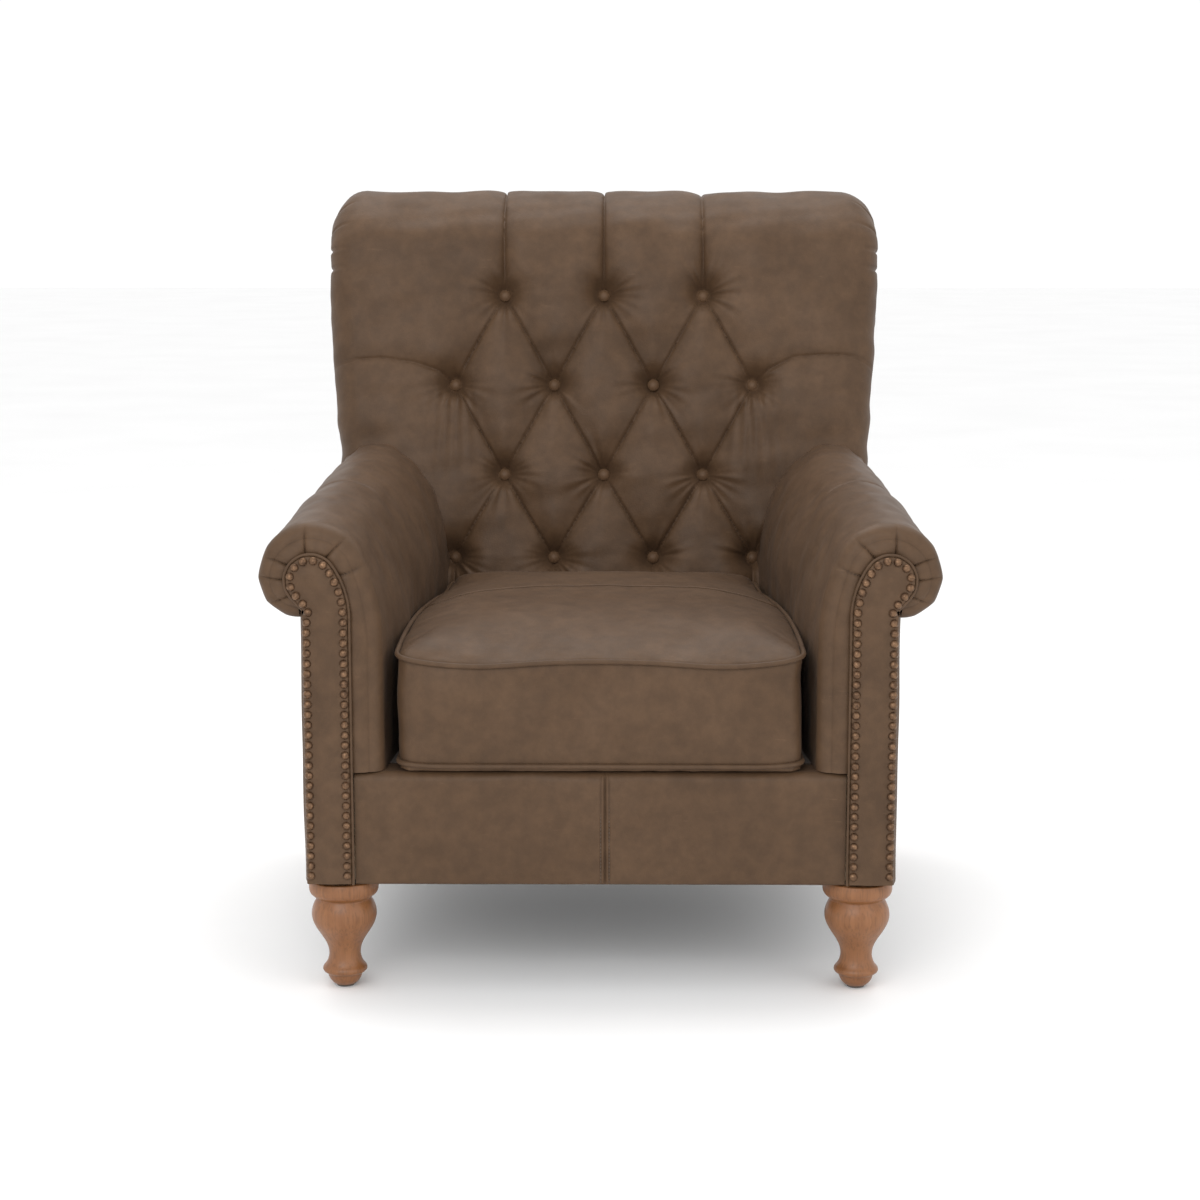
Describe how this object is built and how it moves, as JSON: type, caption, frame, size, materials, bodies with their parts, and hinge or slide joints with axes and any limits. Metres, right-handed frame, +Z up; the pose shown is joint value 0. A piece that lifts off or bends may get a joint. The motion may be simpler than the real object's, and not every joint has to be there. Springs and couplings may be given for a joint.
{
  "type": "upholstered armchair",
  "caption": "Leather club armchair with rolled arms, nail-trimmed facings, a deep-buttoned rolled back, a loose box cushion and turned front legs.",
  "frame": {"origin": "on the floor, under the middle of the chair's bounding box", "axes": "+Z up, -Y is the way the sitter faces, +X to the right in a front view"},
  "size_m": [0.839, 0.8495, 0.987],
  "materials": {
    "hide": "waxed full-grain leather, brown",
    "piping_hide": "leather over cord",
    "leg_wood": "turned hardwood, warm brown stain, satin",
    "frame_wood": "sawn hardwood, unfinished",
    "nail_brass": "antique bronze, domed",
    "foam": "upholstery foam",
    "wadding": "polyester wadding",
    "spring_steel": "oiled spring wire",
    "hardware_steel": "zinc plated",
    "webbing": "woven elastic webbing",
    "twine": "waxed twine",
    "dust_cloth": "black spun-bonded cloth",
    "glide_nylon": "nylon",
    "zip_tape": "woven zip tape",
    "zip_metal": "antique brass"
  },
  "bodies": {
    "chair": {"arm_cover_left": "hide", "arm_cover_right": "hide", "arm_facing_left": "hide", "arm_facing_right": "hide", "arm_pad_left": "wadding", "arm_pad_right": "wadding", "arm_rail_left": "frame_wood", "arm_rail_right": "frame_wood", "back_buttons": "hide", "back_cover": "hide", "back_foam": "foam", "back_lower_rail": "frame_wood", "back_post_left": "frame_wood", "back_post_right": "frame_wood", "back_rail": "frame_wood", "back_top_rail": "frame_wood", "back_webbing": "webbing", "button_twine": "twine", "corner_blocks": "frame_wood", "dust_cover": "dust_cloth", "facing_nails_left": "nail_brass", "facing_nails_right": "nail_brass", "facing_welt_left": "piping_hide", "facing_welt_right": "piping_hide", "frame_dowels": "frame_wood", "front_border": "hide", "front_leg_left": "leg_wood", "front_leg_right": "leg_wood", "front_post_left": "frame_wood", "front_post_right": "frame_wood", "front_rail": "frame_wood", "glides": "glide_nylon", "leg_bolts": "hardware_steel", "outside_arm_left": "hide", "outside_arm_right": "hide", "outside_back": "hide", "rear_leg_left": "leg_wood", "rear_leg_right": "leg_wood", "scroll_board_left": "frame_wood", "scroll_board_right": "frame_wood", "seat_deck": "wadding", "seat_springs": "spring_steel", "side_rail_left": "frame_wood", "side_rail_right": "frame_wood", "spring_clips": "hardware_steel", "tee_nuts": "hardware_steel"},
    "seat_cushion": {"cushion_base_panel": "hide", "cushion_boxing": "hide", "cushion_top_panel": "hide", "cushion_foam": "foam", "cushion_piping_bottom": "piping_hide", "cushion_piping_top": "piping_hide", "zip_tape": "zip_tape"},
    "zip_slider": {"zip_slider": "zip_metal", "zip_pull": "zip_metal"}
  },
  "joints": [
    {"name": "seat_cushion_lift", "type": "slide", "parent": "chair", "child": "seat_cushion", "axis": [0, 0, 1], "range_m": [0, 0.35]},
    {"name": "zip_slider_slide", "type": "slide", "parent": "seat_cushion", "child": "zip_slider", "axis": [1, 0, 0], "range_m": [0, 0.369]}
  ]
}
